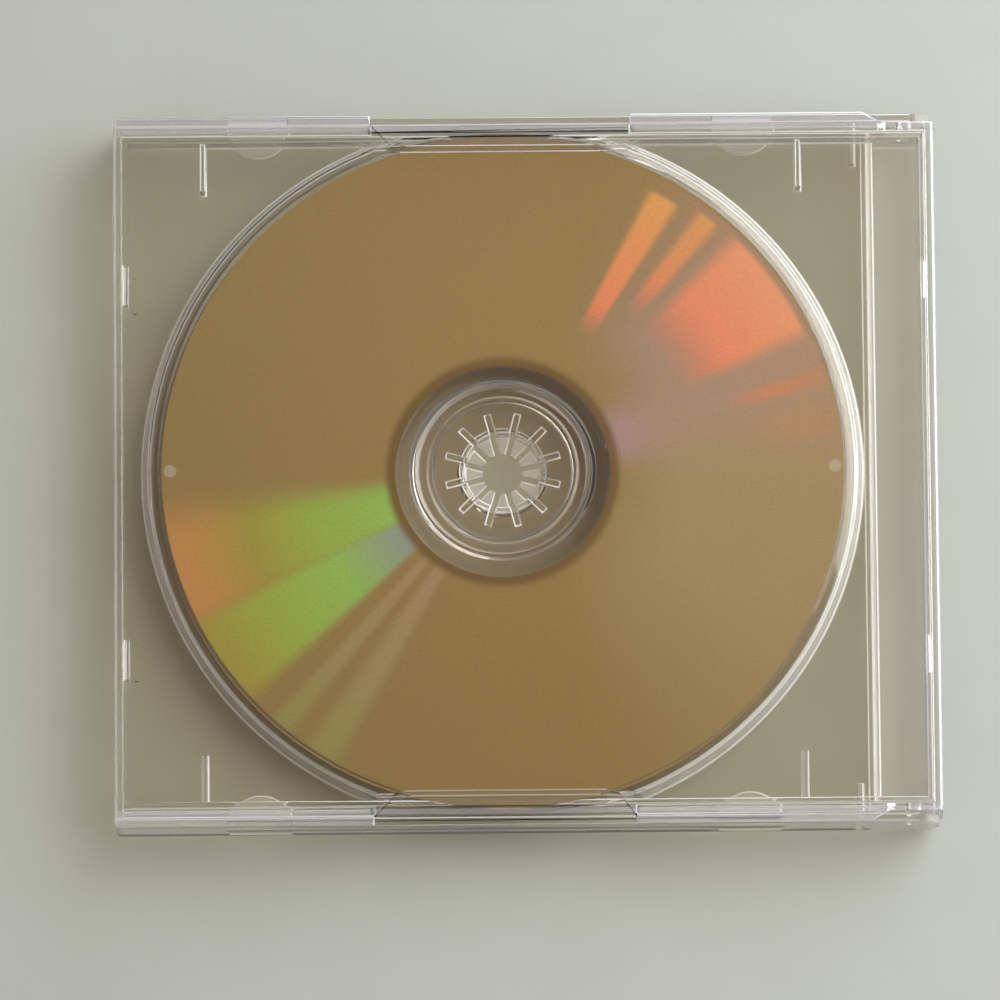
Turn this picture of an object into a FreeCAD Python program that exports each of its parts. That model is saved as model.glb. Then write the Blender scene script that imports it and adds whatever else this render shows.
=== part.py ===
import FreeCAD, Part
import math
import os

Vector = FreeCAD.Vector

# Clear hinged case for one disc, lying on its front.
# Millimetres. X runs from the opening edge to the hinge edge, Y along the hinge, Z up.
# The outer face of the lid is at z = 0 and the outer face of the back cover at the top.

# Disc
disc_diameter = 120.0
disc_hole = 15.0
disc_thickness = 1.2
disc_sink = 0.4
disc_rim_chamfer = 0.25
stack_ring_radius = 18.0
stack_ring_width = 0.9
stack_ring_height = 0.2

# Closed case round the disc: margins from its rim to the edges and the hinge strip, and the depth
opening_margin = 7.0
side_margin = 2.5
strip_margin = 2.7
strip_width = 12.3
case_depth = 10.0

# Moulded walls
lid_panel = 1.2
lid_wall = 1.4
back_panel = 1.2
rail_wall = 1.3
spine_wall = 1.3
tray_sheet = 1.0

# Clearances
closing_gap = 0.1
side_gap = 0.3
lid_inset = 0.2
tray_gap = 0.3
card_gap = 0.1
tab_gap = 0.3
pin_clearance = 0.05
disc_seat_gap = 0.05

# Edge rounds
edge_round = 0.6
corner_round = 0.9
lip_round = 0.3

# Hinge
hinge_inset = 5.0
pin_radius = 1.5
cheek_land = 1.6
cheek_lead = 1.4
ear_setback = 0.6
ear_round = 3.5
strip_gap = 0.8
strip_recess = 0.3
strip_round = 0.8

# Ledges on the two long edges of the back cover, with a finger gap and tapered ends
finger_gap = 45.0
ledge_taper = 3.2
ledge_taper_round = 1.5

# Booklet holders on the lid
booklet_space = 1.9
tab_thickness = 0.8
tab_reach = 4.8
tab_width = 11.4
tab_spacing = 84.0
tab_window = 10.6
stop_rib_length = 6.4
stop_rib_width = 0.8
stop_rib_height = 1.2
stop_rib_inset = 3.6
stop_rib_spacing = 64.8
corner_stop_length = 6.3
corner_stop_width = 1.0
corner_stop_inset = 1.2

# Catches
lug_length = 6.5
lug_reach = 0.8
lug_height = 0.9
lug_spacing = 66.0
lug_clearance = 0.3
bump_inset = 10.7
bump_height = 0.2
bump_radius = 0.6
bump_margin = 0.8

# Tray
recess_gap = 1.5
recess_draft = 1.2
recess_slant_run = 1.8
recess_slant_rise = 0.85
lip_width = 2.6
lip_gap = 0.6
rib_spacing = 103.0
rib_length = 9.5
rib_width = 0.9
rib_margin = 0.8
gate_radius = 1.1
gate_height = 0.05
gate_inset = 4.2

# Hub
finger_count = 12
slit_width = 0.8
slit_reach = 10.0
slit_turn = 15.0
hub_clearance = 0.2
hub_booklet_gap = 0.2
hook_reach = 0.4
hook_gap = 0.05
hook_slope = 0.35
finger_sheet = 0.8
finger_taper = 0.5
finger_hole_radius = 3.5
pad_outer_radius = 15.4
pad_inner_radius = 12.2
pad_step = 0.8
pad_step_lead = 0.3
foot_flare = 0.7
hub_join = 2.0

# Overshoot of cutting tools past the faces that they open
over = 1.0

# Places across the case
disc_radius = disc_diameter / 2
case_width = opening_margin + disc_diameter + strip_margin + strip_width
case_height = disc_diameter + 2 * side_margin
half_width = case_width / 2
half_height = case_height / 2
disc_x = -half_width + opening_margin + disc_radius
hinge_x = half_width - hinge_inset
hinge_z = case_depth / 2
panel_edge_x = half_width - strip_width
ear_end_x = half_width - ear_setback
lid_y = half_height - lid_inset
lid_inner_y = lid_y - lid_wall
rail_y = lid_inner_y - side_gap
rail_inner_y = rail_y - rail_wall
tray_y = rail_inner_y - tray_gap
spine_inner_x = half_width - spine_wall
tray_x = spine_inner_x - tray_gap
strip_x = panel_edge_x + strip_gap
gap_start_x = disc_x - finger_gap / 2
gap_end_x = disc_x + finger_gap / 2
pin_hole_radius = pin_radius + pin_clearance

# Levels, from the outer face of the lid upwards
panel_inner_z = case_depth - back_panel
wall_top_z = panel_inner_z - closing_gap
spine_front_z = lid_panel + closing_gap
tab_z = lid_panel + booklet_space
deck_z = tab_z + tab_thickness + tab_gap
deck_back_z = deck_z + tray_sheet
tray_back_z = panel_inner_z - card_gap
floor_z = tray_back_z - tray_sheet
disc_front_z = deck_z + disc_sink
disc_back_z = disc_front_z + disc_thickness
pad_z = disc_back_z + disc_seat_gap
lip_z = disc_back_z + lip_gap
cheek_z = hinge_z - pin_hole_radius - cheek_land
hub_front_z = tab_z + hub_booklet_gap
lug_z = (deck_back_z + tray_back_z) / 2

# Recess that takes the disc, wider at the deck than at the floor
recess_radius = disc_radius + recess_gap
recess_slope = recess_draft / (floor_z - deck_z)
lip_y = tray_y - lip_width


def in_plan(u, v):
    return Vector(u, v, 0)


def in_side(u, v):
    return Vector(u, 0, v)


def across_side(u, v):
    return Vector(0, u, v)


def rounded_face(corners, place):
    """Face inside corners of (u, v, radius), each turned by an arc where its radius isn't zero."""
    turns = []
    for index, (u, v, radius) in enumerate(corners):
        corner = Vector(u, v, 0)
        before = Vector(*corners[index - 1][:2], 0) - corner
        after = Vector(*corners[(index + 1) % len(corners)][:2], 0) - corner
        before.normalize()
        after.normalize()
        if radius <= 0:
            turns.append((corner, None, corner))
            continue
        half_angle = before.getAngle(after) / 2
        setback = radius / math.tan(half_angle)
        middle = before + after
        middle.normalize()
        depth = radius / math.sin(half_angle) - radius
        turns.append((corner + before * setback, corner + middle * depth, corner + after * setback))
    edges = []
    for index, (start, middle, end) in enumerate(turns):
        if middle is not None:
            arc = [place(point.x, point.y) for point in (start, middle, end)]
            edges.append(Part.Arc(*arc).toShape())
        following = turns[(index + 1) % len(turns)][0]
        if (following - end).Length > 1e-6:
            line = Part.LineSegment(place(end.x, end.y), place(following.x, following.y))
            edges.append(line.toShape())
    return Part.Face(Part.Wire(edges))


def plate(corners, low_z, high_z):
    """Solid with a plan outline, between two levels."""
    face = rounded_face(corners, in_plan)
    face.translate(Vector(0, 0, low_z))
    return face.extrude(Vector(0, 0, high_z - low_z))


def web(corners, low_y, high_y):
    """Solid with an outline seen along the hinge, between two places on Y."""
    face = rounded_face(corners, in_side)
    face.translate(Vector(0, low_y, 0))
    return face.extrude(Vector(0, high_y - low_y, 0))


def gusset(corners, low_x, high_x):
    """Solid with an outline seen along X, between two places on X."""
    face = rounded_face(corners, across_side)
    face.translate(Vector(low_x, 0, 0))
    return face.extrude(Vector(high_x - low_x, 0, 0))


def turned(corners):
    """Solid turned about the disc's axis from an outline of radius and level."""
    face = rounded_face(corners, in_side)
    solid = face.revolve(Vector(0, 0, 0), Vector(0, 0, 1), 360)
    solid.translate(Vector(disc_x, 0, 0))
    return solid


def rectangle(low_x, high_x, low_y, high_y, radius=0.0):
    """Corners of a plan rectangle, all turned by one radius."""
    return [
        (low_x, low_y, radius),
        (high_x, low_y, radius),
        (high_x, high_y, radius),
        (low_x, high_y, radius),
    ]


def sides(inner, outer):
    """The same span of Y on both long edges."""
    return [(-outer, -inner), (inner, outer)]


def recess_radius_at(level):
    return recess_radius - recess_slope * (level - deck_z)


def recess_form(low_z, high_z, wall=0.0):
    """Tapered plug of the disc recess with a slanted high edge, or of its outside with a wall added."""
    slant_z = high_z - recess_slant_rise
    slant_radius = recess_radius_at(slant_z) + wall
    return turned([
        (0, low_z, 0),
        (recess_radius_at(low_z) + wall, low_z, 0),
        (slant_radius, slant_z, 0),
        (slant_radius - recess_slant_run, high_z, 0),
        (0, high_z, 0),
    ])


def half_moon(centre_x, side):
    """Booklet tab that springs from one side wall of the lid."""
    root_y = side * (lid_inner_y + lid_wall / 2)
    wall_y = side * lid_inner_y
    tip = Vector(centre_x, wall_y - side * tab_reach, 0)
    left = Vector(centre_x - tab_width / 2, wall_y, 0)
    right = Vector(centre_x + tab_width / 2, wall_y, 0)
    left_root = Vector(left.x, root_y, 0)
    right_root = Vector(right.x, root_y, 0)
    outline = Part.Wire([
        Part.Arc(left, tip, right).toShape(),
        Part.LineSegment(right, right_root).toShape(),
        Part.LineSegment(right_root, left_root).toShape(),
        Part.LineSegment(left_root, left).toShape(),
    ])
    face = Part.Face(outline)
    face.translate(Vector(0, 0, tab_z))
    return face.extrude(Vector(0, 0, tab_thickness))


def open_end_outline(end_x):
    """Plan outline of the lid up to a place on X, with its corners turned at the opening edge."""
    return [
        (-half_width, -lid_y, corner_round),
        (end_x, -lid_y, 0),
        (end_x, lid_y, 0),
        (-half_width, lid_y, corner_round),
    ]


def make_lid():
    """Front lid: panel, two side walls with hinge ears and pins, booklet tabs and stops."""
    panel = plate(open_end_outline(panel_edge_x), 0, lid_panel)
    wall_outline = [
        (-half_width, 0, 0),
        (ear_end_x, 0, ear_round),
        (ear_end_x, wall_top_z, ear_round),
        (-half_width, wall_top_z, lip_round),
    ]
    footprint = plate(open_end_outline(ear_end_x), 0, wall_top_z)
    added = []
    for low_y, high_y in sides(lid_inner_y, lid_y):
        added.append(web(wall_outline, low_y, high_y).common(footprint))
    corner_stop_x = panel_edge_x - corner_stop_inset
    for low_y, high_y in sides(lid_inner_y - corner_stop_length, lid_inner_y + lid_wall / 2):
        outline = rectangle(corner_stop_x - corner_stop_width, corner_stop_x, low_y, high_y)
        added.append(plate(outline, lid_panel / 2, tab_z))
    stop_rib_x = -half_width + stop_rib_inset
    for centre_y in (-stop_rib_spacing / 2, stop_rib_spacing / 2):
        outline = rectangle(
            stop_rib_x - stop_rib_width / 2,
            stop_rib_x + stop_rib_width / 2,
            centre_y - stop_rib_length / 2,
            centre_y + stop_rib_length / 2,
            stop_rib_width / 3,
        )
        added.append(plate(outline, lid_panel / 2, lid_panel + stop_rib_height))
    windows = []
    for side in (-1, 1):
        for centre_x in (disc_x - tab_spacing / 2, disc_x + tab_spacing / 2):
            added.append(half_moon(centre_x, side))
            window = [
                (centre_x - tab_window / 2, lid_panel, 0),
                (centre_x + tab_window / 2, lid_panel, 0),
                (centre_x + tab_window / 2, tab_z, lip_round),
                (centre_x - tab_window / 2, tab_z, lip_round),
            ]
            low_y, high_y = sorted((side * lid_inner_y, side * (lid_y + over)))
            windows.append(web(window, low_y, high_y))
        pin = Part.makeCylinder(
            pin_radius,
            lid_inner_y + lid_wall / 2 - rail_inner_y,
            Vector(hinge_x, side * rail_inner_y, hinge_z),
            Vector(0, side, 0),
        )
        added.append(pin)
    return panel.fuse(added).cut(windows).removeSplitter()


def make_back_cover():
    """Back cover: panel with two spines, side ledges, inner rails, hinge cheeks and catches."""
    pan = web(
        [
            (-half_width, spine_front_z, lip_round),
            (-half_width, case_depth, edge_round),
            (half_width, case_depth, edge_round),
            (half_width, strip_recess, edge_round),
            (spine_inner_x, strip_recess, lip_round),
            (spine_inner_x, panel_inner_z, lip_round),
            (-spine_inner_x, panel_inner_z, lip_round),
            (-spine_inner_x, spine_front_z, lip_round),
        ],
        -half_height,
        half_height,
    )
    footprint = rectangle(-half_width, half_width, -half_height, half_height, corner_round)
    shell = pan.common(plate(footprint, 0, case_depth))
    past_edge_x = half_width + over
    past_edge_y = half_height + over
    notches = []
    for side in (-1, 1):
        low_y, high_y = sorted((side * rail_y, side * past_edge_y))
        notches.append(plate(rectangle(-past_edge_x, past_edge_x, low_y, high_y), -over, panel_inner_z))
        finger_notch = rectangle(gap_start_x, gap_end_x, low_y, high_y, lip_round)
        notches.append(plate(finger_notch, 0, case_depth + over))
        ear_notch = [
            (panel_edge_x, side * past_edge_y, 0),
            (panel_edge_x, side * half_height, 0),
            (panel_edge_x + ledge_taper, side * rail_y, ledge_taper_round),
            (past_edge_x, side * rail_y, 0),
            (past_edge_x, side * past_edge_y, 0),
        ]
        notches.append(plate(ear_notch, 0, case_depth + over))
    root_z = panel_inner_z + back_panel / 2
    opening_rail = [
        (-half_width + spine_wall / 2, root_z, 0),
        (-half_width + spine_wall / 2, deck_z, 0),
        (gap_start_x, deck_z, corner_round),
        (gap_start_x, root_z, 0),
    ]
    cheek_x = hinge_x - pin_hole_radius - cheek_land
    hinge_rail = [
        (gap_end_x, root_z, 0),
        (gap_end_x, deck_z, corner_round),
        (cheek_x - cheek_lead, deck_z, lip_round),
        (cheek_x, cheek_z, corner_round),
        (half_width - spine_wall / 2, cheek_z, 0),
        (half_width - spine_wall / 2, root_z, 0),
    ]
    added = []
    for low_y, high_y in sides(rail_inner_y, rail_y):
        added.append(web(opening_rail, low_y, high_y))
        added.append(web(hinge_rail, low_y, high_y))
    for side in (-1, 1):
        bump_y = side * (rail_y + bump_height - bump_radius)
        bump = Part.makeCylinder(
            bump_radius,
            panel_inner_z - deck_z - 2 * bump_margin,
            Vector(-half_width + bump_inset, bump_y, deck_z + bump_margin),
        )
        added.append(bump)
    for side in (-1, 1):
        wall_x = side * (spine_inner_x + spine_wall / 2)
        face_x = side * spine_inner_x
        lug = [
            (wall_x, lug_z - lug_height / 2, 0),
            (face_x, lug_z - lug_height / 2, 0),
            (face_x - side * lug_reach, lug_z + lug_height / 4, 0),
            (face_x - side * lug_reach, lug_z + lug_height / 2, 0),
            (wall_x, lug_z + lug_height / 2, 0),
        ]
        for centre_y in (-lug_spacing / 2, lug_spacing / 2):
            added.append(web(lug, centre_y - lug_length / 2, centre_y + lug_length / 2))
    pin_hole = Part.makeCylinder(
        pin_hole_radius,
        case_height,
        Vector(hinge_x, -half_height, hinge_z),
        Vector(0, 1, 0),
    )
    return shell.cut(notches).fuse(added).cut(pin_hole).removeSplitter()


def make_hub():
    """Hub: raised seat for the disc and a rosette of spring fingers that grip its hole."""
    finger_radius = disc_hole / 2 - hub_clearance
    hook_radius = disc_hole / 2 + hook_reach
    hook_root_z = disc_front_z - hook_gap
    hub_floor_z = pad_z + pad_step
    hub_floor_back_z = hub_floor_z + finger_sheet
    pad_back_z = pad_z + tray_sheet
    finger_inner_radius = finger_radius - finger_sheet
    foot_radius = pad_outer_radius + foot_flare
    join_radius = foot_radius + hub_join
    hub = turned([
        (join_radius, floor_z, 0),
        (foot_radius, floor_z, 0),
        (pad_outer_radius, pad_z, 0),
        (pad_inner_radius, pad_z, 0),
        (pad_inner_radius - pad_step_lead, hub_floor_z, 0),
        (finger_radius, hub_floor_z, 0),
        (finger_radius, hook_root_z, 0),
        (hook_radius, hook_root_z - hook_slope, 0),
        (finger_radius - finger_taper, hub_front_z, 0),
        (finger_hole_radius, hub_front_z, 0),
        (finger_hole_radius, hub_front_z + finger_sheet, 0),
        (finger_inner_radius, hub_front_z + finger_sheet, 0),
        (finger_inner_radius, hub_floor_back_z, 0),
        (pad_inner_radius + tray_sheet / 2, hub_floor_back_z, 0),
        (pad_inner_radius + tray_sheet, pad_back_z, 0),
        (pad_outer_radius - tray_sheet, pad_back_z, 0),
        (foot_radius - tray_sheet, tray_back_z, 0),
        (join_radius, tray_back_z, 0),
    ])
    slits = []
    for index in range(finger_count):
        slit = plate(
            rectangle(0, slit_reach, -slit_width / 2, slit_width / 2),
            hub_front_z - over,
            tray_back_z + over,
        )
        slit.rotate(Vector(0, 0, 0), Vector(0, 0, 1), slit_turn + index * 360 / finger_count)
        slit.translate(Vector(disc_x, 0, 0))
        slits.append(slit)
    return hub.cut(slits), join_radius


def make_tray():
    """Tray: deck with a round recess, straight lips, hinge strip, ribs and hub."""
    blank = plate(rectangle(-tray_x, tray_x, -tray_y, tray_y, corner_round), deck_z, tray_back_z)
    strip = web(
        [
            (strip_x, tray_back_z, 0),
            (strip_x, strip_recess, strip_round),
            (tray_x, strip_recess, strip_round),
            (tray_x, tray_back_z, 0),
        ],
        -tray_y,
        tray_y,
    )
    deep = recess_form(deck_z - over, floor_z)
    between_lips = plate(rectangle(-half_width, half_width, -lip_y, lip_y), deck_z - over, tray_back_z)
    recess = [deep.common(between_lips), recess_form(deck_z - over, lip_z)]
    hollow_x = tray_x - tray_sheet
    hollow_y = tray_y - tray_sheet
    pan = recess_form(deck_back_z - over, tray_back_z, tray_sheet)
    deck_hollow = plate(
        rectangle(-hollow_x, hollow_x, -hollow_y, hollow_y, lip_round),
        deck_back_z,
        tray_back_z + over,
    ).cut(pan)
    lip_hollows = []
    for low_y, high_y in sides(lip_y + tray_sheet, half_height):
        outline = rectangle(-half_width, half_width, low_y, high_y)
        lip_hollows.append(pan.common(plate(outline, lip_z + tray_sheet, tray_back_z + over)))
    strip_hollow = web(
        [
            (strip_x + tray_sheet, tray_back_z + over, 0),
            (strip_x + tray_sheet, strip_recess + tray_sheet, lip_round),
            (hollow_x, strip_recess + tray_sheet, lip_round),
            (hollow_x, tray_back_z + over, 0),
        ],
        -hollow_y,
        hollow_y,
    )
    lug_windows = []
    for side in (-1, 1):
        low_x, high_x = sorted((side * (hollow_x - over), side * (tray_x + over)))
        for centre_y in (-lug_spacing / 2, lug_spacing / 2):
            half_window = lug_length / 2 + lug_clearance
            outline = rectangle(low_x, high_x, centre_y - half_window, centre_y + half_window)
            low_z = lug_z - lug_height / 2 - lug_clearance
            high_z = lug_z + lug_height / 2 + lug_clearance
            lug_windows.append(plate(outline, low_z, high_z))
    hub, join_radius = make_hub()
    hub_hole = Part.makeCylinder(join_radius, tray_back_z, Vector(disc_x, 0, deck_z))
    hollows = [deck_hollow, strip_hollow, hub_hole]
    shell = blank.fuse(strip).cut(recess + hollows + lip_hollows + lug_windows)
    added = [hub]
    for side in (-1, 1):
        rib = [
            (side * (tray_y - tray_sheet / 2), deck_back_z - tray_sheet / 2, 0),
            (side * (tray_y - tray_sheet / 2), tray_back_z - rib_margin, 0),
            (side * (tray_y - rib_length), tray_back_z - rib_margin, lip_round),
            (side * (tray_y - rib_length), deck_back_z - tray_sheet / 2, 0),
        ]
        for centre_x in (disc_x - rib_spacing / 2, disc_x + rib_spacing / 2):
            added.append(gusset(rib, centre_x - rib_width / 2, centre_x + rib_width / 2))
    for side in (-1, 1):
        gate_x = disc_x + side * (recess_radius - gate_inset)
        gate_low_z = tray_back_z - tray_sheet / 2
        gate = Part.makeCylinder(
            gate_radius,
            tray_back_z + gate_height - gate_low_z,
            Vector(gate_x, 0, gate_low_z),
        )
        added.append(gate)
    return shell.fuse(added).removeSplitter()


def make_disc():
    """Disc with a centre hole, a chamfered rim and a stacking ring on its data side."""
    hole_radius = disc_hole / 2
    ring_inner = stack_ring_radius - stack_ring_width / 2
    ring_outer = stack_ring_radius + stack_ring_width / 2
    ring_z = disc_back_z + stack_ring_height
    return turned([
        (hole_radius, disc_front_z, 0),
        (disc_radius - disc_rim_chamfer, disc_front_z, 0),
        (disc_radius, disc_front_z + disc_rim_chamfer, 0),
        (disc_radius, disc_back_z - disc_rim_chamfer, 0),
        (disc_radius - disc_rim_chamfer, disc_back_z, 0),
        (ring_outer, disc_back_z, 0),
        (ring_outer - stack_ring_height, ring_z, 0),
        (ring_inner + stack_ring_height, ring_z, 0),
        (ring_inner, disc_back_z, 0),
        (hole_radius, disc_back_z, 0),
    ])


pieces = {
    "front_lid": make_lid(),
    "back_cover": make_back_cover(),
    "disc_tray": make_tray(),
    "disc": make_disc(),
}
os.makedirs("parts", exist_ok=True)
for name, shape in pieces.items():
    shape.exportStep(f"parts/{name}.step")
    print(name, "solids", len(shape.Solids), "valid", shape.isValid(), "volume", round(shape.Volume, 1))
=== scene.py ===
import logging
import math
from collections.abc import Callable, Iterator
from contextlib import contextmanager
from dataclasses import dataclass, field
from enum import Enum

import bmesh
import bpy
from mathutils import Matrix, Vector


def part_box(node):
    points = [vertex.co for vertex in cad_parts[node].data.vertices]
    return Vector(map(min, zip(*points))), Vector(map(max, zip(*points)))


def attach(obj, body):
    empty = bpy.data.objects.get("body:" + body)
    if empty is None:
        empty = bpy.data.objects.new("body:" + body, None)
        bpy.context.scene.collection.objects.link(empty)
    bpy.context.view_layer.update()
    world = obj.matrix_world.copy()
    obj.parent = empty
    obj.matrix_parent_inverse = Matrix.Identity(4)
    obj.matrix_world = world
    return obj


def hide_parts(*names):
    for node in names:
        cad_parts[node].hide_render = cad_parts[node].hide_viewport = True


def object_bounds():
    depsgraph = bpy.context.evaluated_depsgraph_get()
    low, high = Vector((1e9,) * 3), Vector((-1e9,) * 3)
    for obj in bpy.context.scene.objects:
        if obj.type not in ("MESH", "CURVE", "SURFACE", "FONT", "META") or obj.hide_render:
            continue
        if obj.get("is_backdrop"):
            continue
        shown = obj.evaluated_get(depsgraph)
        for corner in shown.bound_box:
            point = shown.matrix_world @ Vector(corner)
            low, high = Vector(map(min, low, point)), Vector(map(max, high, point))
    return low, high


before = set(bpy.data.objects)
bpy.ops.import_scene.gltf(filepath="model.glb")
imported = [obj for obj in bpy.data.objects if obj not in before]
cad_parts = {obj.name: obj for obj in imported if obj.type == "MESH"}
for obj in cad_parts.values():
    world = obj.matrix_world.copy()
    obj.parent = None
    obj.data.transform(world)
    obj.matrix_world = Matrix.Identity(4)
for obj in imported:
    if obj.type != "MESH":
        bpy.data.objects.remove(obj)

LOG = logging.getLogger("disc_case")
MM = 0.001
FLAT_AREA = 0.15 * MM * MM
# Shares of a face's normal along an axis: square to it, flat, nearly level, and leaning over as on a round.
SQUARE = 0.99999
FLAT = 0.99
LEVEL = 0.95
ROUND = 0.15

Colour = tuple[float, float, float]
Socket = bpy.types.NodeSocket


class Body(Enum):
    """Bodies of the case that turn about the hinge."""

    LID = "lid"
    BACK = "back"


class Slot(Enum):
    """Material slots of the record."""

    CASE = "clear_case"
    TRAY = "clear_tray"
    DISC = "gold_disc"


class Ray(Enum):
    """Kinds of ray that pass straight through clear plastic."""

    LAMP = "Is Shadow Ray"
    SOFT = "Is Diffuse Ray"


class Skin(Enum):
    """Material places on a clear moulding, the last one for a finish that a single moulding has."""

    FACE = 0
    EDGE = 1
    FROST = 2
    MILKY = 3
    OWN = 4


class Layer(Enum):
    """Material places on the disc."""

    CLEAR = 0
    GOLD = 1


def screen_colour(red: int, green: int, blue: int) -> Colour:
    """Turn a colour as a screen shows it into shader values.

    Args:
        red: Red from 0 to 255.
        green: Green from 0 to 255.
        blue: Blue from 0 to 255.

    Returns:
        The same colour in linear light.
    """
    shares = (red / 255, green / 255, blue / 255)
    return tuple(c / 12.92 if c <= 0.04045 else ((c + 0.055) / 1.055) ** 2.4 for c in shares)


class ShaderSketch:
    """Node tree of one material, with short calls for the nodes that the finishes share."""

    def __init__(self, name: str) -> None:
        """Start an empty tree.

        Args:
            name: Name of the material.
        """
        self.material = bpy.data.materials.new(name)
        self.material.use_nodes = True
        self.tree = self.material.node_tree
        self.tree.nodes.clear()

    def add(self, kind: str, **settings: object) -> bpy.types.Node:
        """Add a node.

        Args:
            kind: Node type.
            **settings: Properties to set on the node.

        Returns:
            The new node.
        """
        node = self.tree.nodes.new(kind)
        for key, value in settings.items():
            setattr(node, key, value)
        return node

    def feed(self, socket: Socket, value: "Socket | float | Colour") -> None:
        """Link or set one input.

        Args:
            socket: Input to fill.
            value: Output to link, or a plain value.
        """
        if isinstance(value, bpy.types.NodeSocket):
            self.tree.links.new(value, socket)
        elif isinstance(value, tuple) and socket.type == "RGBA":
            socket.default_value = (*value, 1.0)
        else:
            socket.default_value = value

    def calculate(
        self, operation: str, first: "Socket | float", second: "Socket | float" = 0.0
    ) -> Socket:
        """Add a Math node.

        Args:
            operation: Math operation.
            first: First value.
            second: Second value.

        Returns:
            The result.
        """
        node = self.add("ShaderNodeMath", operation=operation)
        self.feed(node.inputs[0], first)
        self.feed(node.inputs[1], second)
        return node.outputs[0]

    def step(self, value: Socket, start: float, end: float, low: float = 0.0, high: float = 1.0) -> Socket:
        """Ease from one value to another.

        Args:
            value: Driving value.
            start: Driving value at which the result is low.
            end: Driving value at which the result is high.
            low: Result before the start.
            high: Result after the end.

        Returns:
            The eased result.
        """
        node = self.add("ShaderNodeMapRange", interpolation_type="SMOOTHSTEP")
        for name, setting in zip(("From Min", "From Max", "To Min", "To Max"), (start, end, low, high)):
            node.inputs[name].default_value = setting
        self.feed(node.inputs["Value"], value)
        return node.outputs["Result"]

    def noise(self, place: Socket, scale: float, detail: float = 2.0) -> Socket:
        """Add a noise over a place.

        Args:
            place: Coordinates in metres.
            scale: Waves in a metre.
            detail: Octaves.

        Returns:
            The noise, from 0 to 1.
        """
        node = self.add("ShaderNodeTexNoise")
        node.inputs["Scale"].default_value = scale
        node.inputs["Detail"].default_value = detail
        self.feed(node.inputs["Vector"], place)
        return node.outputs["Fac"]

    def blend(self, share: "Socket | float", first: "Socket | Colour", second: "Socket | Colour") -> Socket:
        """Mix two colours.

        Args:
            share: Share of the second colour.
            first: First colour.
            second: Second colour.

        Returns:
            The mixed colour.
        """
        node = self.add("ShaderNodeMix", data_type="RGBA")
        self.feed(node.inputs["Factor"], share)
        self.feed(node.inputs["A"], first)
        self.feed(node.inputs["B"], second)
        return node.outputs["Result"]

    def ramp(self, value: Socket, stops: tuple[tuple[float, Colour], ...]) -> Socket:
        """Colour by a value.

        Args:
            value: Driving value from 0 to 1.
            stops: Places and colours.

        Returns:
            The colour.
        """
        node = self.add("ShaderNodeValToRGB")
        elements = node.color_ramp.elements
        while len(elements) < len(stops):
            elements.new(1.0)
        for element, (place, colour) in zip(elements, stops):
            element.position = place
            element.color = (*colour, 1.0)
        self.feed(node.inputs["Fac"], value)
        return node.outputs["Color"]

    def object_place(self) -> Socket:
        """Return the place on the piece, in metres."""
        return self.add("ShaderNodeTexCoord").outputs["Object"]

    def show(self, shader: Socket) -> bpy.types.Material:
        """Send a shader to the output and return the material."""
        output = self.add("ShaderNodeOutputMaterial")
        self.tree.links.new(shader, output.inputs["Surface"])
        return self.material


@dataclass(frozen=True)
class ClearPlastic:
    """Clear moulded plastic that lets lamps through."""

    name: str
    tint: Colour = (0.982, 0.97, 0.948)
    shade: Colour = (0.961, 0.947, 0.92)
    ior: float = 1.57
    clearness: float = 1.0
    roughness: float = 0.0

    def material(self) -> bpy.types.Material:
        """Build the material.

        Returns:
            A material for clear pieces.
        """
        sketch = ShaderSketch(self.name)
        shader = sketch.add("ShaderNodeBsdfPrincipled")
        shader.inputs["Transmission Weight"].default_value = self.clearness
        shader.inputs["IOR"].default_value = self.ior
        sketch.feed(shader.inputs["Base Color"], self.tint)
        shader.inputs["Roughness"].default_value = self.roughness
        passing = sketch.add("ShaderNodeBsdfTransparent")
        sketch.feed(passing.inputs["Color"], self.shade)
        light_path = sketch.add("ShaderNodeLightPath")
        surface = shader.outputs["BSDF"]
        for ray in Ray:
            mix = sketch.add("ShaderNodeMixShader")
            sketch.feed(mix.inputs[0], light_path.outputs[ray.value])
            sketch.feed(mix.inputs[1], surface)
            sketch.feed(mix.inputs[2], passing.outputs["BSDF"])
            surface = mix.outputs["Shader"]
        return sketch.show(surface)


@dataclass(frozen=True)
class PaintedGlint:
    """Painted highlight on the disc: a fan of split light painted as colour, between two radii, with its
    colours from the hub outwards.

    Angles are in degrees from +X and radii in millimetres. A colour's place is its share of the
    gold band's outer radius.
    """

    angle: float
    half_width: float
    softness: float
    inner: float
    outer: float
    fade: float
    strength: float
    colours: tuple[tuple[float, Colour], ...]
    outer_fade: float = 0.6

    def mask(self, sketch: ShaderSketch, angle: Socket, radius: Socket) -> Socket:
        """Share of the painted highlight's colour at each place.

        Args:
            sketch: Tree to add to.
            angle: Angle round the disc in degrees.
            radius: Radius in millimetres.

        Returns:
            The share, from 0 to the fan's strength.
        """
        turn = sketch.calculate("SUBTRACT", angle, self.angle)
        wrap = sketch.add("ShaderNodeMath", operation="WRAP")
        sketch.feed(wrap.inputs[0], turn)
        wrap.inputs[1].default_value = 180.0
        wrap.inputs[2].default_value = -180.0
        off = sketch.calculate("ABSOLUTE", wrap.outputs[0])
        across = sketch.step(
            off, self.half_width - self.softness, self.half_width + self.softness, self.strength, 0.0
        )
        start = sketch.step(radius, self.inner - self.fade, self.inner + self.fade)
        end = sketch.step(radius, self.outer - self.outer_fade, self.outer + self.outer_fade, 1.0, 0.0)
        return sketch.calculate("MULTIPLY", across, sketch.calculate("MULTIPLY", start, end))


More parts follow.
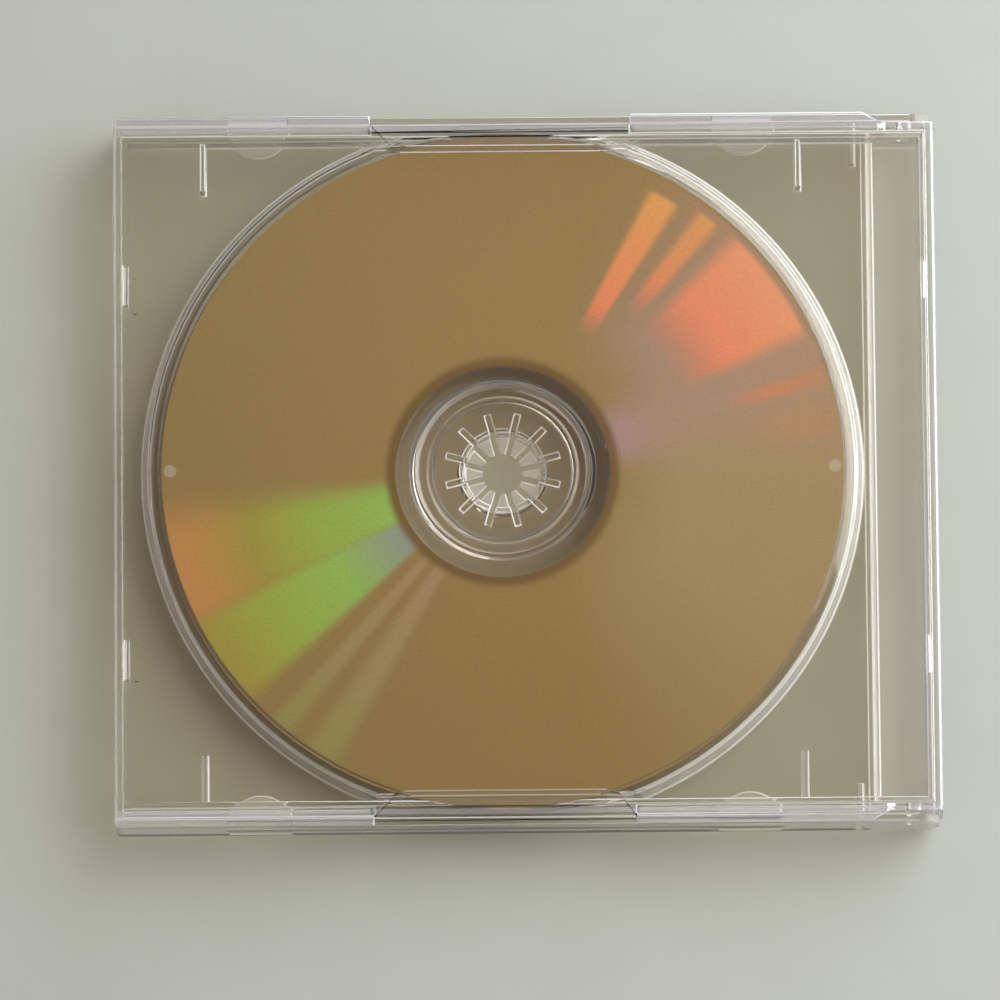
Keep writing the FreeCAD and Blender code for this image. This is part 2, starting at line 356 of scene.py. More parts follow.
@dataclass(frozen=True)
class GoldLayer:
    """Thin gold recording layer that lets a little lamp light through, with painted highlights (fans of
    split light painted as colour) and painted shade that darkens it towards -Y.

    Radii and widths on the band are in millimetres.
    """

    name: str
    centre: Vector
    inner: float
    outer: float
    painted_glints: tuple[PaintedGlint, ...]
    # Painted shade: the band runs from the lit gold at +Y to a darker gold at -Y over the painted shade
    # reach.
    gold: Colour = screen_colour(168, 141, 84)
    painted_shade_gold: Colour = screen_colour(162, 134, 72)
    edge: Colour = screen_colour(120, 88, 32)
    edge_start: float = 0.7
    edge_width: float = 2.4
    edge_strength: float = 0.92
    outward_share: float = 0.12
    painted_shade_reach: float = 50 * MM
    shade: Colour = (0.58, 0.47, 0.32)
    gain: float = 1.07
    metallic: float = 0.2
    roughness: float = 0.34
    coat: float = 0.6
    coat_roughness: float = 0.06
    grain_scale: float = 2600.0
    grain_span: tuple[float, float] = (0.3, 0.7)
    grain_gain: tuple[float, float] = (0.93, 1.07)

    def material(self) -> bpy.types.Material:
        """Build the material.

        Returns:
            A material for the recorded band of the disc.
        """
        sketch = ShaderSketch(self.name)
        offset = sketch.add("ShaderNodeVectorMath", operation="SUBTRACT")
        sketch.feed(offset.inputs[0], sketch.object_place())
        offset.inputs[1].default_value = self.centre
        parts = sketch.add("ShaderNodeSeparateXYZ")
        sketch.feed(parts.inputs[0], offset.outputs[0])
        across, along = parts.outputs["X"], parts.outputs["Y"]
        angle = sketch.calculate("MULTIPLY", sketch.calculate("ARCTAN2", along, across), math.degrees(1.0))
        squares = sketch.calculate(
            "ADD", sketch.calculate("MULTIPLY", across, across), sketch.calculate("MULTIPLY", along, along)
        )
        radius = sketch.calculate("MULTIPLY", sketch.calculate("SQRT", squares), 1 / MM)
        share = sketch.step(radius, 0.0, self.outer)
        reach = sketch.calculate("DIVIDE", radius, self.outer)
        # Painted shade: the gold is darker towards -Y and lighter towards +Y.
        painted_shade = sketch.step(along, -self.painted_shade_reach, self.painted_shade_reach)
        colour = sketch.blend(painted_shade, self.painted_shade_gold, self.gold)
        colour = sketch.blend(sketch.calculate("MULTIPLY", share, self.outward_share), colour, self.edge)
        # Painted highlights: the fans of split light are painted into the base colour, fixed on the disc.
        for painted_glint in self.painted_glints:
            mask = painted_glint.mask(sketch, angle, radius)
            colour = sketch.blend(mask, colour, sketch.ramp(reach, painted_glint.colours))
        rim = sketch.step(
            radius, self.inner + self.edge_start, self.inner + self.edge_width, self.edge_strength, 0.0
        )
        colour = sketch.blend(rim, colour, self.edge)
        noise = sketch.noise(sketch.object_place(), self.grain_scale)
        grain = sketch.step(noise, *self.grain_span, *self.grain_gain)
        lit = sketch.add("ShaderNodeVectorMath", operation="SCALE")
        sketch.feed(lit.inputs[0], colour)
        sketch.feed(lit.inputs["Scale"], sketch.calculate("MULTIPLY", grain, self.gain))
        shader = sketch.add("ShaderNodeBsdfPrincipled")
        sketch.feed(shader.inputs["Base Color"], lit.outputs[0])
        shader.inputs["Metallic"].default_value = self.metallic
        shader.inputs["Roughness"].default_value = self.roughness
        shader.inputs["Coat Weight"].default_value = self.coat
        shader.inputs["Coat Roughness"].default_value = self.coat_roughness
        passing = sketch.add("ShaderNodeBsdfTransparent")
        sketch.feed(passing.inputs["Color"], self.shade)
        mix = sketch.add("ShaderNodeMixShader")
        sketch.feed(mix.inputs[0], sketch.add("ShaderNodeLightPath").outputs[Ray.LAMP.value])
        sketch.feed(mix.inputs[1], shader.outputs["BSDF"])
        sketch.feed(mix.inputs[2], passing.outputs["BSDF"])
        return sketch.show(mix.outputs["Shader"])


@dataclass(frozen=True)
class PaleTable:
    """Pale matt table top with a fine mottle."""

    name: str = "pale_table"
    light: Colour = screen_colour(190, 192, 182)
    dark: Colour = screen_colour(183, 185, 174)
    mottle_scale: float = 60.0
    mottle_detail: float = 4.0
    roughness: float = 0.8
    specular: float = 0.2

    def material(self) -> bpy.types.Material:
        """Build the material.

        Returns:
            A material for the floor.
        """
        sketch = ShaderSketch(self.name)
        place = sketch.object_place()
        shader = sketch.add("ShaderNodeBsdfPrincipled")
        mottle = sketch.noise(place, self.mottle_scale, self.mottle_detail)
        sketch.feed(shader.inputs["Base Color"], sketch.blend(mottle, self.dark, self.light))
        shader.inputs["Roughness"].default_value = self.roughness
        shader.inputs["Specular IOR Level"].default_value = self.specular
        return sketch.show(shader.outputs["BSDF"])


def take_up(piece: bpy.types.Object) -> None:
    """Make one piece the only selected and active one."""
    bpy.ops.object.select_all(action="DESELECT")
    piece.select_set(True)
    bpy.context.view_layer.objects.active = piece


@contextmanager
def editing(piece: bpy.types.Object) -> Iterator[None]:
    """Open a piece in edit mode with nothing selected.

    Args:
        piece: Mesh object to edit.
    """
    take_up(piece)
    bpy.ops.object.mode_set(mode="EDIT")
    bpy.ops.mesh.select_all(action="DESELECT")
    try:
        yield
    finally:
        bpy.ops.object.mode_set(mode="OBJECT")


def choose_faces(piece: bpy.types.Object, wanted: Callable[[bmesh.types.BMFace], bool]) -> None:
    """Select the faces that a test names, and no others.

    Args:
        piece: Mesh object in edit mode.
        wanted: Test of one face.
    """
    bpy.ops.mesh.select_mode(type="FACE")
    mesh = bmesh.from_edit_mesh(piece.data)
    for face in mesh.faces:
        face.select_set(wanted(face))
    bmesh.update_edit_mesh(piece.data)


def choose_edges(piece: bpy.types.Object, wanted: Callable[[bmesh.types.BMEdge], bool]) -> None:
    """Select the edges that a test names, and no others.

    Args:
        piece: Mesh object in edit mode.
        wanted: Test of one edge.
    """
    bpy.ops.mesh.select_mode(type="EDGE")
    mesh = bmesh.from_edit_mesh(piece.data)
    chosen = [wanted(edge) for edge in mesh.edges]
    for edge, pick in zip(mesh.edges, chosen):
        edge.select_set(pick)
    bmesh.update_edit_mesh(piece.data)


def choose_points(piece: bpy.types.Object, wanted: Callable[[Vector], bool]) -> None:
    """Select the points that a test names, and no others.

    Args:
        piece: Mesh object in edit mode.
        wanted: Test of one place in metres.
    """
    bpy.ops.mesh.select_mode(type="VERT")
    mesh = bmesh.from_edit_mesh(piece.data)
    for point in mesh.verts:
        point.select_set(wanted(point.co))
    mesh.select_flush_mode()
    bmesh.update_edit_mesh(piece.data)


def level_shading(piece: bpy.types.Object, crease_angle: float) -> None:
    """Shade rounds smoothly while the flat faces beside them stay flat.

    Args:
        piece: Mesh object to shade.
        crease_angle: Angle in degrees past which an edge stays sharp.
    """
    take_up(piece)
    bpy.ops.object.shade_smooth_by_angle(angle=math.radians(crease_angle))
    with editing(piece):
        choose_faces(
            piece, lambda face: face.calc_area() > FLAT_AREA and max(map(abs, face.normal)) > SQUARE
        )
        bpy.ops.mesh.faces_shade_flat()
    take_up(piece)
    bpy.ops.object.modifier_add(type="WEIGHTED_NORMAL")
    modifier = piece.modifiers[-1]
    modifier.keep_sharp = True
    modifier.weight = 100
    bpy.ops.object.modifier_apply(modifier=modifier.name)


@dataclass
class Moulding:
    """One clear moulding of the case: the frame's solid with eased edges and a polished skin.

    Sizes are in metres. The places that choose a skin are in millimetres, as the faces' middles are.
    """

    node: str
    name: str
    body: Body
    slot: Slot
    finishes: dict[Skin, ClearPlastic]
    weld: float = 0.002 * MM
    flat_angle: float = 0.6
    crease_angle: float = 34.0
    broad_ease: float = 0.25 * MM
    broad_room: float = 0.66 * MM
    fine_ease: float = 0.08 * MM
    ease_steps: int = 3
    shortest_ease: float = 0.5 * MM
    wide_area: float = 60 * MM * MM
    wide_pitch: float = 7 * MM
    wide_level: float = 0.9999
    long_wall: float = 59.5
    short_wall: float = 69.0
    wall_lean: float = 0.7
    piece: bpy.types.Object | None = field(default=None, init=False)

    def build(self) -> bpy.types.Object:
        """Copy the solid, weld it, ease its edges and shape its own details.

        Returns:
            The finished mesh object.
        """
        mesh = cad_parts[self.node].data.copy()
        mesh.materials.clear()
        for _ in self.finishes:
            mesh.materials.append(None)
        self.piece = bpy.data.objects.new(self.name, mesh)
        bpy.context.scene.collection.objects.link(self.piece)
        self.weld_up()
        self.ease_edges(lambda edge: self.sharp(edge) and self.roomy(edge), self.broad_ease)
        self.ease_edges(self.sharp, self.fine_ease)
        self.divide_wide_faces()
        self.detail()
        level_shading(self.piece, self.crease_angle)
        return self.piece

    def weld_up(self) -> None:
        """Join the loose triangles and merge those that lie flat together."""
        with editing(self.piece):
            bpy.ops.mesh.select_all(action="SELECT")
            bpy.ops.mesh.remove_doubles(threshold=self.weld)
            bpy.ops.mesh.dissolve_limited(angle_limit=math.radians(self.flat_angle))

    def sharp(self, edge: bmesh.types.BMEdge) -> bool:
        """Tell whether an edge is a crease that is long enough to ease."""
        return (
            len(edge.link_faces) == 2
            and edge.calc_length() > self.shortest_ease
            and edge.calc_face_angle(0.0) > math.radians(self.crease_angle)
        )

    def roomy(self, edge: bmesh.types.BMEdge) -> bool:
        """Tell whether both faces beside a crease are wide enough for the broad round."""
        start, end = (point.co for point in edge.verts)
        way = (end - start).normalized()
        for face in edge.link_faces:
            depth = max((point.co - start).cross(way).length for point in face.verts)
            width = 2 * face.calc_area() / face.calc_perimeter()
            if depth < self.broad_room or width < self.broad_room / 2:
                return False
        return True

    def ease_edges(self, wanted: Callable[[bmesh.types.BMEdge], bool], ease: float) -> None:
        """Round creases, as a mould leaves them, and give the rounds their own skin.

        Args:
            wanted: Test of one edge.
            ease: Reach of the round on both faces.
        """
        with editing(self.piece):
            choose_edges(self.piece, wanted)
            bpy.ops.mesh.bevel(
                offset=ease,
                segments=self.ease_steps,
                affect="EDGES",
                clamp_overlap=False,
                material=Skin.EDGE.value,
            )

    def divide_wide_faces(self) -> None:
        """Cut the wide level faces into even cells, so that no long thin triangles lie in them."""
        low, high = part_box(self.node)
        with editing(self.piece):
            choose_faces(
                self.piece,
                lambda face: face.calc_area() > self.wide_area and abs(face.normal.z) > self.wide_level,
            )
            bpy.ops.mesh.hide(unselected=True)
            for axis in (0, 1):
                count = round((high[axis] - low[axis]) / self.wide_pitch)
                way = Vector((1 - axis, axis, 0))
                for index in range(1, count):
                    place = low[axis] + (high[axis] - low[axis]) * index / count
                    bpy.ops.mesh.select_all(action="SELECT")
                    bpy.ops.mesh.bisect(plane_co=way * place, plane_no=way)
            bpy.ops.mesh.reveal(select=False)

    def detail(self) -> None:
        """Shape what only this moulding has."""

    def paint(
        self, skin: Skin, wanted: Callable[[Vector, Vector], bool], over: Skin = Skin.FACE
    ) -> None:
        """Give some of the faces another skin.

        Args:
            skin: Skin to give.
            wanted: Test of a face's middle in millimetres and its normal.
            over: Skin that the faces have.
        """
        with editing(self.piece):
            choose_faces(
                self.piece,
                lambda face: face.material_index == over.value
                and wanted(face.calc_center_median() / MM, face.normal),
            )
            self.piece.active_material_index = skin.value
            bpy.ops.object.material_slot_assign()

    def paint_walls(self) -> None:
        """Make the outer walls milky."""
        self.paint(
            Skin.MILKY,
            lambda middle, normal: (abs(middle.y) > self.long_wall and abs(normal.y) > self.wall_lean)
            or (abs(middle.x) > self.short_wall and abs(normal.x) > self.wall_lean),
        )

    def dress(self) -> None:
        """Give the piece its finishes and its place in the frame."""
        for skin, finish in self.finishes.items():
            self.piece.data.materials[skin.value] = finish.material()
        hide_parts(self.node)
        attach(self.piece, self.body.value)


@dataclass
class BackCover(Moulding):
    """Back cover with milky borders along its walls and bright rounds on its two spines."""

    spine_start: float = 70.2
    border: float = 59.7

    def detail(self) -> None:
        """Mark the walls, the border strips over them and the rounds along both spines."""
        self.paint_walls()
        with editing(self.piece):
            choose_faces(self.piece, lambda face: face.normal.z > FLAT)
            bpy.ops.mesh.hide(unselected=True)
            for border in (-self.border, self.border):
                bpy.ops.mesh.select_all(action="SELECT")
                bpy.ops.mesh.bisect(plane_co=(0, border * MM, 0), plane_no=(0, 1, 0))
            bpy.ops.mesh.reveal(select=False)
        self.paint(Skin.MILKY, lambda middle, normal: abs(middle.y) > self.border and normal.z > FLAT)
        self.paint(
            Skin.EDGE,
            lambda middle, normal: abs(middle.x) > self.spine_start and ROUND < normal.z < FLAT,
        )


@dataclass
class DiscTray(Moulding):
    """Tray with bright rounds on its strip, veiled lips and dull spring fingers."""

    axis_x: float = -4.0
    hub_rings: tuple[float, float] = (10.2, 20.0)
    lip_start: float = 56.3
    lip_levels: tuple[float, float] = (6.3, 7.5)
    finger_reach: float = 8.0
    finger_top: float = 4.3
    strip_start: float = 59.0
    strip_round_top: float = 1.2
    gate_reach: tuple[float, float] = (56.0, 58.6)
    gate_half: float = 1.3
    gate_level: float = 8.72
    recess_wall: tuple[float, float] = (59.6, 63.0)
    wall_slope: float = 0.8

    def detail(self) -> None:
        """Mark the strip, the gate marks, the lips, the steep round walls and the fingers."""
        self.paint(
            Skin.EDGE,
            lambda middle, normal: middle.x > self.strip_start
            and middle.z < self.strip_round_top
            and ROUND < -normal.z < FLAT,
        )
        self.paint(Skin.FROST, self.in_gate)
        self.paint(Skin.FACE, lambda middle, normal: self.in_lip(middle), over=Skin.EDGE)
        self.paint(Skin.FACE, lambda middle, normal: self.in_rings(middle), over=Skin.EDGE)
        self.paint(Skin.OWN, lambda middle, normal: self.in_lip(middle) and abs(normal.z) > LEVEL)
        self.paint(
            Skin.FROST,
            lambda middle, normal: (self.in_rings(middle) or self.in_recess_wall(middle))
            and abs(normal.z) < self.wall_slope,
        )
        self.paint(
            Skin.FROST,
            lambda middle, normal: middle.x > self.strip_start and abs(normal.z) > LEVEL,
        )
        self.paint(
            Skin.FROST,
            lambda middle, normal: self.reach(middle) < self.finger_reach
            and middle.z < self.finger_top
            and abs(normal.z) > LEVEL,
        )

    def reach(self, middle: Vector) -> float:
        """Return the distance from the disc's axis, in millimetres."""
        return math.hypot(middle.x - self.axis_x, middle.y)

    def roomy(self, edge: bmesh.types.BMEdge) -> bool:
        """Tell whether a crease takes the broad round, which the hub's rings and the lips don't."""
        middle = (edge.verts[0].co + edge.verts[1].co) / 2 / MM
        return not (self.in_rings(middle) or self.in_lip(middle)) and super().roomy(edge)

    def in_rings(self, middle: Vector) -> bool:
        """Tell whether a place is on the rings of the hub."""
        near, far = self.hub_rings
        return near < self.reach(middle) < far

    def in_recess_wall(self, middle: Vector) -> bool:
        """Tell whether a place is on the slanted wall round the disc."""
        near, far = self.recess_wall
        return near < self.reach(middle) < far

    def in_gate(self, middle: Vector, normal: Vector) -> bool:
        """Tell whether a face is the raised top of a gate mark."""
        near, far = self.gate_reach
        beside = abs(middle.y) < self.gate_half and near < self.reach(middle) < far
        return beside and middle.z > self.gate_level and normal.z > LEVEL

    def in_lip(self, middle: Vector) -> bool:
        """Tell whether a place is on one of the two lips."""
        low, high = self.lip_levels
        return abs(middle.y) > self.lip_start and low < middle.z < high


@dataclass
class FrontLid(Moulding):
    """Lid with fine upright grip grooves on its two outer walls and dull, bright-edged booklet tabs."""

    grip_pitch: float = 0.6 * MM
    groove_depth: float = 0.14 * MM
    grip_runs: tuple[tuple[float, float], ...] = ((10 * MM, 31.2 * MM), (44.8 * MM, 62.4 * MM))
    grip_low: float = 0.9 * MM
    grip_high: float = 7.8 * MM
    run_out: float = 0.35 * MM
    touch: float = 0.02 * MM
    tab_levels: tuple[float, float] = (3.0, 4.0)
    tab_start: float = 55.0
    tab_end: float = 60.8

    def detail(self) -> None:
        """Cut the grip grooves into both outer walls and mark the tabs."""
        low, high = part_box(self.node)
        for wall_y, side in ((low.y, -1), (high.y, 1)):
            self.groove(wall_y, side)
        self.paint_walls()
        self.paint(Skin.FROST, lambda middle, normal: self.in_tab(middle) and abs(normal.z) > LEVEL)
        for over in (Skin.FACE, Skin.EDGE):
            self.paint(
                Skin.OWN, lambda middle, normal: self.in_tab(middle) and abs(normal.z) < LEVEL, over=over
            )

    def in_tab(self, middle: Vector) -> bool:
        """Tell whether a face belongs to a booklet tab."""
        low, high = self.tab_levels
        return low < middle.z < high and self.tab_start < abs(middle.y) < self.tab_end

    def groove_lines(self) -> list[tuple[float, bool]]:
        """List the upright lines of the grip.

        Returns:
            Each line's place on X and whether it is the bottom of a groove.
        """
        lines = []
        for start, end in self.grip_runs:
            count = round((end - start) / self.grip_pitch) * 2
            for index in range(count + 1):
                lines.append((start + (end - start) * index / count, index % 2 == 1))
        return lines

    def groove(self, wall_y: float, side: int) -> None:
        """Score one wall and press every second line in.

        Args:
            wall_y: Place of the wall's outer face.
            side: -1 or 1, the way the wall faces on Y.
        """
        near = self.touch
        low, high = self.grip_low, self.grip_high
        levels = (low, low + self.run_out, high - self.run_out, high)
        lines = self.groove_lines()
        with editing(self.piece):
            choose_faces(
                self.piece,
                lambda face: face.normal.y * side > FLAT
                and abs(face.calc_center_median().y - wall_y) < near,
            )
            bpy.ops.mesh.hide(unselected=True)
            for level in levels:
                bpy.ops.mesh.select_all(action="SELECT")
                bpy.ops.mesh.bisect(plane_co=(0, 0, level), plane_no=(0, 0, 1))
            for place, _ in lines:
                bpy.ops.mesh.select_all(action="SELECT")
                bpy.ops.mesh.bisect(plane_co=(place, 0, 0), plane_no=(1, 0, 0))
            bottoms = [place for place, bottom in lines if bottom]
            choose_points(
                self.piece,
                lambda point: abs(point.y - wall_y) < near
                and levels[1] - near < point.z < levels[2] + near
                and min(abs(point.x - place) for place in bottoms) < near,
            )
            bpy.ops.transform.translate(value=(0, -side * self.groove_depth, 0))
            bpy.ops.mesh.reveal(select=False)


@dataclass
class RecordableDisc:
    """Disc with a clear hub, a stacking ring, a gold band on both sides and a clear rim."""

    node: str
    name: str
    plastic: ClearPlastic
    gold: GoldLayer
    hole: float = 7.5 * MM
    ring_radius: float = 18.0 * MM
    ring_half: float = 0.45 * MM
    ring_height: float = 0.2 * MM
    rim_ease: float = 0.25 * MM
    rim_turn: float = 0.3
    weld: float = 0.005 * MM
    crease_angle: float = 30.0
    gold_level: float = 0.9
    segments: int = 192
    piece: bpy.types.Object | None = field(default=None, init=False)

    def rings(self) -> list[tuple[float, float]]:
        """List the rings of the closed profile, from the hole's front edge round to its back edge.

        Returns:
            Radius and level of each ring, in metres.
        """
        low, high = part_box(self.node)
        outer = (high.x - low.x) / 2
        front, back = low.z, high.z - self.ring_height
        ease = self.rim_ease
        turn = ease * self.rim_turn
        inner_gold, outer_gold = self.gold.inner * MM, self.gold.outer * MM
        return [
            (self.hole, front + ease / 2),
            (self.hole + ease / 2, front),
            (inner_gold, front),
            (outer_gold, front),
            (outer - ease, front),
            (outer - turn, front + turn),
            (outer, front + ease),
            (outer, back - ease),
            (outer - turn, back - turn),
            (outer - ease, back),
            (outer_gold, back),
            (inner_gold, back),
            (self.ring_radius + self.ring_half, back),
            (self.ring_radius + self.ring_half / 2, back + self.ring_height),
            (self.ring_radius - self.ring_half / 2, back + self.ring_height),
            (self.ring_radius - self.ring_half, back),
            (self.hole + ease / 2, back),
            (self.hole, back - ease / 2),
        ]

    def build(self) -> bpy.types.Object:
        """Draw the hole's edge and extrude it from ring to ring round the profile.

        Returns:
            The finished mesh object.
        """
        low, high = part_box(self.node)
        axis = Vector(((low.x + high.x) / 2, (low.y + high.y) / 2, 0))
        rings = self.rings()
        radius, level = rings[0]
        bpy.ops.object.select_all(action="DESELECT")
        bpy.ops.mesh.primitive_circle_add(
            vertices=self.segments, radius=radius, location=(axis.x, axis.y, level)
        )
        self.piece = bpy.context.active_object
        self.piece.name = self.name
        bpy.ops.object.transform_apply(location=True)
        with editing(self.piece):
            bpy.ops.mesh.select_mode(type="EDGE")
            bpy.ops.mesh.select_all(action="SELECT")
            for next_radius, next_level in rings[1:] + rings[:1]:
                bpy.ops.mesh.extrude_edges_move(
                    TRANSFORM_OT_translate={"value": (0, 0, next_level - level)}
                )
                scale = next_radius / radius
                bpy.ops.transform.resize(
                    value=(scale, scale, 1), center_override=(axis.x, axis.y, next_level)
                )
                radius, level = next_radius, next_level
            bpy.ops.mesh.select_all(action="SELECT")
            bpy.ops.mesh.remove_doubles(threshold=self.weld)
            bpy.ops.mesh.normals_make_consistent(inside=False)
        self.lay_gold(axis)
        level_shading(self.piece, self.crease_angle)
        return self.piece

    def lay_gold(self, axis: Vector) -> None:
        """Mark the flat faces of the recorded band as gold.

        Args:
            axis: Place of the disc's axis.
        """
        for face in self.piece.data.polygons:
            reach = (Vector((face.center.x, face.center.y, 0)) - axis).length / MM
            band = self.gold.inner < reach < self.gold.outer and abs(face.normal.z) > self.gold_level
            face.material_index = Layer.GOLD.value if band else Layer.CLEAR.value

    def dress(self) -> None:
        """Give the disc its two finishes and its place in the frame."""
        self.piece.data.materials.append(self.plastic.material())
        self.piece.data.materials.append(self.gold.material())
        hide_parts(self.node)
        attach(self.piece, Body.BACK.value)


def direction(azimuth: float, elevation: float) -> Vector:
    """Turn two angles into a direction.

    Args:
        azimuth: Angle in degrees round the table from +X.
        elevation: Angle in degrees over the table.

    Returns:
        A vector of length one.
    """
    turn, rise = math.radians(azimuth), math.radians(elevation)
    return Vector((math.cos(turn) * math.cos(rise), math.sin(turn) * math.cos(rise), math.sin(rise)))


@dataclass
class Softbox:
    """Soft rectangular lamp that faces the case, to light it or only to be mirrored in its clear faces."""

    name: str
    azimuth: float
    elevation: float
    distance: float
    size: tuple[float, float]
    power: float
    colour: Colour = (1.0, 1.0, 1.0)
    mirrored: bool = False

    def hang(self, target: Vector) -> None:
        """Add the lamp.

        Args:
            target: Place that the lamp faces.
        """
        lamp = bpy.data.lights.new(self.name, "AREA")
        lamp.shape = "RECTANGLE"
        lamp.size, lamp.size_y = self.size
        lamp.energy = self.power
        lamp.color = self.colour
        holder = bpy.data.objects.new(self.name, lamp)
        way = direction(self.azimuth, self.elevation)
        holder.location = target + way * self.distance
        holder.rotation_euler = (-way).to_track_quat("-Z", "Y").to_euler()
        holder.visible_camera = False
        holder.visible_diffuse = not self.mirrored
        holder.visible_glossy = self.mirrored
        holder.visible_transmission = self.mirrored
        bpy.context.scene.collection.objects.link(holder)


@dataclass
class Studio:
    """Pale table, soft lamps and a dim room."""

    table: PaleTable
    lamps: tuple[Softbox, ...]
    room_low: Colour = (1.03, 1.0, 0.94)
    room_high: Colour = (0.165, 0.16, 0.148)
    room_turn: float = 0.45
    glow: float = 2.8
    glow_azimuth: float = 40.0
    glow_elevation: float = 24.0
    glow_reach: float = 48.0
    floor_size: float = 6.0
    floor_gap: float = 0.05 * MM
    bounces: int = 11
    clear_bounces: int = 10
    straight_bounces: int = 20
    glossy_bounces: int = 4
    soft_bounces: int = 1

    def set_up(self) -> None:
        """Build the floor, the lamps and the room."""
        self.lay_floor()
        for lamp in self.lamps:
            lamp.hang(Vector((0, 0, 0)))
        self.paint_room()
        scene = bpy.context.scene
        scene.view_settings.view_transform = "Standard"
        scene.cycles.max_bounces = self.bounces
        scene.cycles.transmission_bounces = self.clear_bounces
        scene.cycles.transparent_max_bounces = self.straight_bounces
        scene.cycles.glossy_bounces = self.glossy_bounces
        scene.cycles.diffuse_bounces = self.soft_bounces

    def lay_floor(self) -> None:
        """Add the table top just under the case."""
        bpy.ops.object.select_all(action="DESELECT")
        bpy.ops.mesh.primitive_plane_add(size=self.floor_size, location=(0, 0, -self.floor_gap))
        floor = bpy.context.active_object
        floor.name = "table_top"
        bpy.ops.object.transform_apply(location=True)
        floor.data.materials.append(self.table.material())
        floor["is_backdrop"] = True

    def paint_room(self) -> None:
        """Light the room faintly, darker overhead and brighter on the window's side."""
        world = bpy.data.worlds.new("room")
        bpy.context.scene.world = world
        world.use_nodes = True
        nodes, links = world.node_tree.nodes, world.node_tree.links
        nodes.clear()
        place = nodes.new("ShaderNodeTexCoord")
        parts = nodes.new("ShaderNodeSeparateXYZ")
        links.new(place.outputs["Generated"], parts.inputs[0])
        ramp = nodes.new("ShaderNodeValToRGB")
        low, high = ramp.color_ramp.elements
        low.color = (*self.room_low, 1.0)
        high.color = (*self.room_high, 1.0)
        high.position = self.room_turn
        links.new(parts.outputs["Z"], ramp.inputs["Fac"])
        toward = nodes.new("ShaderNodeVectorMath")
        toward.operation = "DOT_PRODUCT"
        links.new(place.outputs["Generated"], toward.inputs[0])
        toward.inputs[1].default_value = direction(self.glow_azimuth, self.glow_elevation)
        lobe = nodes.new("ShaderNodeMapRange")
        lobe.interpolation_type = "SMOOTHSTEP"
        lobe.inputs["From Min"].default_value = math.cos(math.radians(self.glow_reach))
        lobe.inputs["To Max"].default_value = self.glow
        links.new(toward.outputs["Value"], lobe.inputs["Value"])
        room = nodes.new("ShaderNodeVectorMath")
        links.new(ramp.outputs["Color"], room.inputs[0])
        links.new(lobe.outputs["Result"], room.inputs[1])
        background = nodes.new("ShaderNodeBackground")
        links.new(room.outputs["Vector"], background.inputs["Color"])
        output = nodes.new("ShaderNodeOutputWorld")
        links.new(background.outputs["Background"], output.inputs["Surface"])


@dataclass
class Viewpoint:
    """Camera high over the table, tipped a little towards the lower long edge."""

    distance: float = 2.4
    tip: float = 12.0
    roll: float = 0.5
    scale: float = 5.81 / MM
    image_width: float = 1000.0
    case_centre: tuple[float, float] = (526.2, 467.4)
    sensor: float = 36.0
    clip_end: float = 20.0

    def place(self, face_z: float) -> None:
        """Set up the camera so that the upper face lies where the picture has it.

        Args:
            face_z: Level of the upper face.
        """
        tip = math.radians(self.tip)
        middle = self.image_width / 2
        target = Vector((
            (middle - self.case_centre[0]) / self.scale,
            -(middle - self.case_centre[1]) / self.scale / math.cos(tip),
            face_z,
        ))
        way = Vector((0, -math.sin(tip), math.cos(tip)))
        lens = bpy.data.cameras.new("viewpoint")
        lens.sensor_width = self.sensor
        lens.lens = self.sensor * self.distance * self.scale / self.image_width
        lens.clip_end = self.clip_end
        camera = bpy.data.objects.new("viewpoint", lens)
        turn = (-way).to_track_quat("-Z", "Y").to_matrix().to_4x4()
        roll = Matrix.Rotation(math.radians(-self.roll), 4, "Z")
        camera.matrix_world = Matrix.Translation(target + way * self.distance) @ turn @ roll
        bpy.context.scene.collection.objects.link(camera)
        bpy.context.scene.camera = camera


# Colours of the painted highlights, the fans of split light on the disc.
ORANGE = screen_colour(246, 174, 98)
CORAL = screen_colour(255, 144, 108)
LIGHT_CORAL = screen_colour(255, 170, 126)
PALE_CORAL = screen_colour(212, 148, 104)
VIOLET = screen_colour(190, 156, 178)
OLIVE = screen_colour(176, 164, 56)
GREEN = screen_colour(166, 194, 72)
LIME = screen_colour(160, 208, 94)
TEAL = screen_colour(158, 172, 158)
AMBER = screen_colour(214, 152, 78)
MOSS = screen_colour(166, 164, 92)
PINK = screen_colour(188, 156, 122)
PALE_GOLD = screen_colour(196, 178, 140)
MAUVE = screen_colour(190, 166, 172)
ROSE = screen_colour(210, 164, 160)
